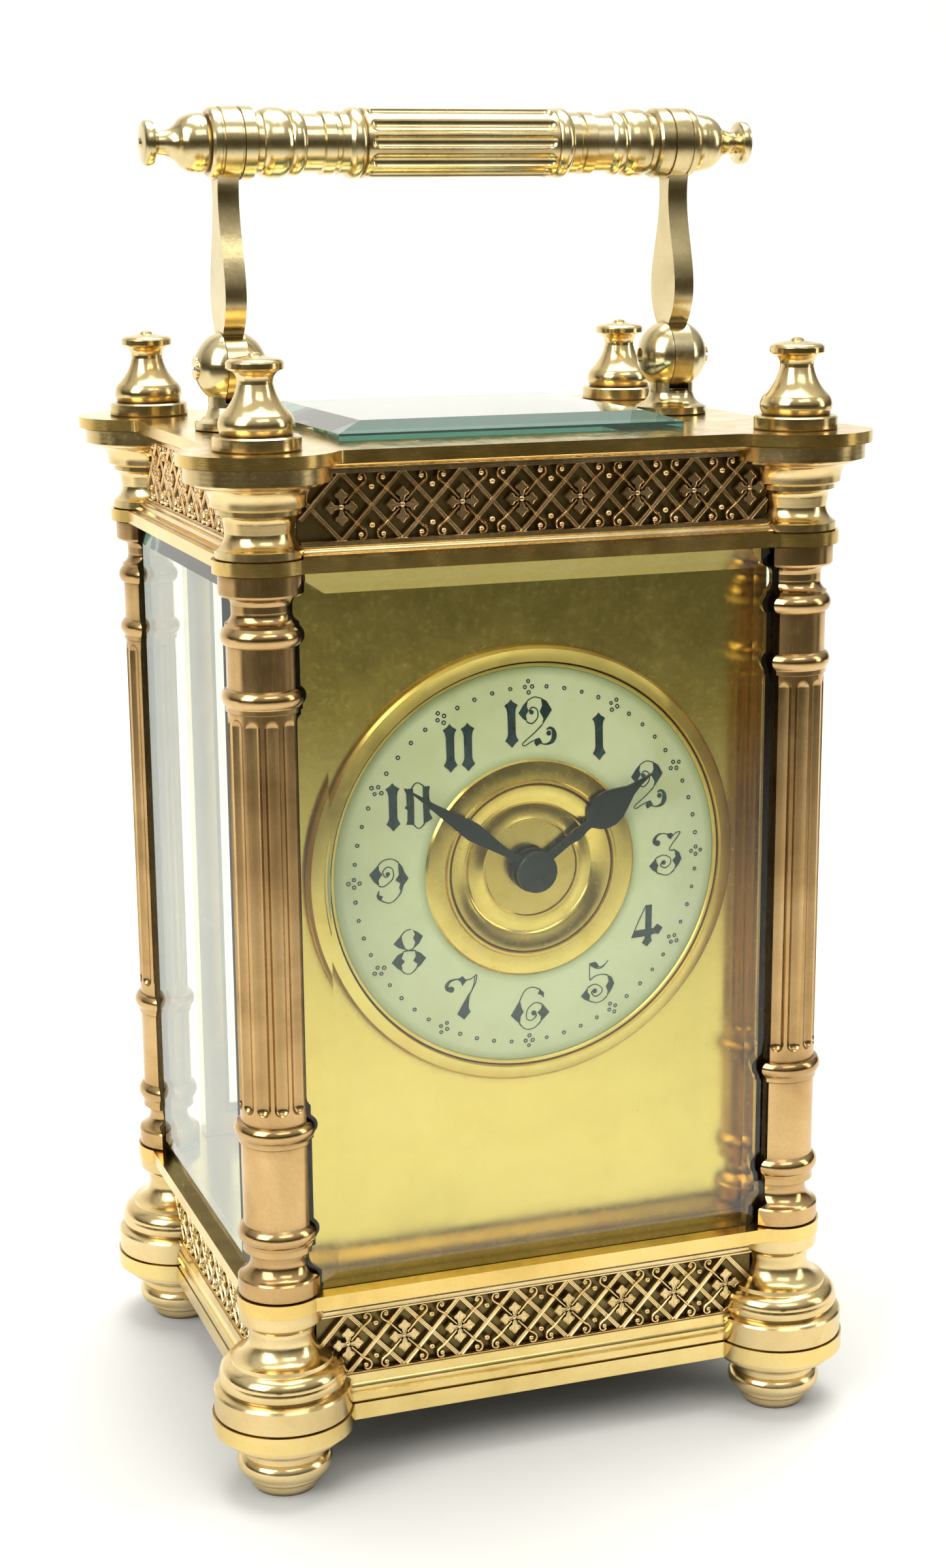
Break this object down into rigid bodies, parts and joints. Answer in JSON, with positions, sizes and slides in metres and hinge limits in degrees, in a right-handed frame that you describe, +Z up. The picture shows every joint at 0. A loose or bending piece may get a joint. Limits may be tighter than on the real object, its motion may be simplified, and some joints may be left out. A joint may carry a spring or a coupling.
{
  "type": "carriage clock",
  "caption": "Brass carriage clock with fluted columns, pierced friezes, bevelled glass, swinging handle, rear door and an enamel dial with numerals.",
  "frame": {"origin": "centre of the footprint, on the surface that the feet stand on", "axes": "+Z up, -Y towards the dial, +X to the right seen from the dial"},
  "size_m": [0.0918, 0.0784, 0.1777],
  "materials": {
    "gilt_brass": "polished, lightly toned gilt",
    "satin_gilt": "satin gilt",
    "bevelled_glass": "clear, bevelled",
    "enamel": "glossy fired enamel",
    "blued_steel": "dark blued",
    "movement_brass": "fine-grained brass",
    "steel": "polished steel"
  },
  "bodies": {
    "case": {"bottom_plate": "gilt_brass", "base_moulding": "gilt_brass", "base_fretwork": "gilt_brass", "frieze_liners": "gilt_brass", "lower_rail_plate": "gilt_brass", "upper_rail_plate": "gilt_brass", "top_moulding": "gilt_brass", "top_fretwork": "gilt_brass", "top_plate": "gilt_brass", "feet": "gilt_brass", "pedestals": "gilt_brass", "column_front_left": "gilt_brass", "column_front_right": "gilt_brass", "column_rear_left": "gilt_brass", "column_rear_right": "gilt_brass", "capitals": "gilt_brass", "finials": "gilt_brass", "tie_rods": "steel", "front_glass": "bevelled_glass", "left_glass": "bevelled_glass", "right_glass": "bevelled_glass", "top_glass": "bevelled_glass", "handle_posts": "gilt_brass", "handle_pivot_pins": "gilt_brass", "dial_mask": "satin_gilt", "dial_bezel": "gilt_brass", "chapter_ring": "enamel", "dial_centre": "gilt_brass", "movement_front_plate": "movement_brass", "movement_back_plate": "movement_brass", "movement_pillars": "movement_brass", "movement_screws": "steel", "platform": "steel", "balance_cock": "movement_brass", "hairspring": "blued_steel"},
    "handle": {"handle_arm_left": "gilt_brass", "handle_arm_right": "gilt_brass", "handle_grip": "gilt_brass", "handle_end_buttons": "gilt_brass"},
    "door": {"door_frame": "gilt_brass", "door_glass": "bevelled_glass", "door_hinge_pins": "gilt_brass", "door_knob": "gilt_brass"},
    "minute_hand_set": {"minute_hand": "blued_steel", "hand_collet": "blued_steel", "centre_arbor": "steel"},
    "hour_hand_set": {"hour_hand": "blued_steel", "hour_wheel": "movement_brass"},
    "motion_wheel": {"minute_wheel": "movement_brass"},
    "contrate": {"contrate_wheel": "movement_brass"},
    "third": {"third_wheel": "movement_brass"},
    "centre": {"centre_wheel": "movement_brass"},
    "going_barrel": {"barrel": "movement_brass", "mainspring": "steel"},
    "winding": {"winding_arbor": "steel", "ratchet_wheel": "steel"},
    "click_lever": {"click": "steel"},
    "escape": {"escape_wheel": "movement_brass"},
    "pallets": {"pallet_lever": "steel"},
    "balance": {"balance_wheel": "movement_brass"}
  },
  "joints": [
    {"name": "handle_swing", "type": "hinge", "parent": "case", "child": "handle", "pos_m": [0, 0, 0.1448], "axis": [1, 0, 0], "range_deg": [-74, 74]},
    {"name": "door_swing", "type": "hinge", "parent": "case", "child": "door", "pos_m": [-0.0284, 0.0298, 0.028], "axis": [0, 0, 1], "range_deg": [0, 105]},
    {"name": "minute_hand_turn", "type": "hinge", "parent": "case", "child": "minute_hand_set", "pos_m": [0, 0, 0.0808], "axis": [0, 1, 0], "continuous": true},
    {"name": "hour_hand_turn", "type": "hinge", "parent": "case", "child": "hour_hand_set", "pos_m": [0, 0, 0.0808], "axis": [0, 1, 0], "continuous": true},
    {"name": "motion_wheel_turn", "type": "hinge", "parent": "case", "child": "motion_wheel", "pos_m": [-0.00866, 0, 0.0758], "axis": [0, 1, 0], "continuous": true},
    {"name": "contrate_turn", "type": "hinge", "parent": "case", "child": "contrate", "pos_m": [-0.0048, 0, 0.103], "axis": [0, 1, 0], "continuous": true},
    {"name": "third_turn", "type": "hinge", "parent": "case", "child": "third", "pos_m": [0.009, 0, 0.09639], "axis": [0, 1, 0], "continuous": true},
    {"name": "centre_turn", "type": "hinge", "parent": "case", "child": "centre", "pos_m": [0, 0, 0.0808], "axis": [0, 1, 0], "continuous": true},
    {"name": "barrel_turn", "type": "hinge", "parent": "case", "child": "going_barrel", "pos_m": [0, 0, 0.0568], "axis": [0, 1, 0], "continuous": true},
    {"name": "escape_turn", "type": "hinge", "parent": "case", "child": "escape", "pos_m": [-0.0048, 0.0078, 0.119], "axis": [0, 0, 1], "continuous": true},
    {"name": "winding_turn", "type": "hinge", "parent": "case", "child": "winding", "pos_m": [0, 0, 0.0568], "axis": [0, 1, 0], "continuous": true},
    {"name": "click_lift", "type": "hinge", "parent": "case", "child": "click_lever", "pos_m": [0.009, 0, 0.0588], "axis": [0, 1, 0], "range_deg": [0, 10], "stiffness_Nm_per_rad": 0.0005},
    {"name": "pallet_swing", "type": "hinge", "parent": "case", "child": "pallets", "pos_m": [-0.00056, 0.00274, 0.119], "axis": [0, 0, 1], "range_deg": [-8, 8]},
    {"name": "balance_swing", "type": "hinge", "parent": "case", "child": "balance", "pos_m": [0.00394, -0.00262, 0.122], "axis": [0, 0, 1], "range_deg": [-220, 220], "stiffness_Nm_per_rad": 0.0000066}
  ],
  "couplings": [
    {"joint": "hour_hand_turn", "follows": "minute_hand_turn", "ratio": 0.083333},
    {"joint": "motion_wheel_turn", "follows": "minute_hand_turn", "ratio": -0.33333},
    {"joint": "third_turn", "follows": "contrate_turn", "ratio": -0.13333},
    {"joint": "centre_turn", "follows": "contrate_turn", "ratio": 0.016667},
    {"joint": "barrel_turn", "follows": "contrate_turn", "ratio": -0.002381},
    {"joint": "escape_turn", "follows": "contrate_turn", "ratio": 10}
  ]
}
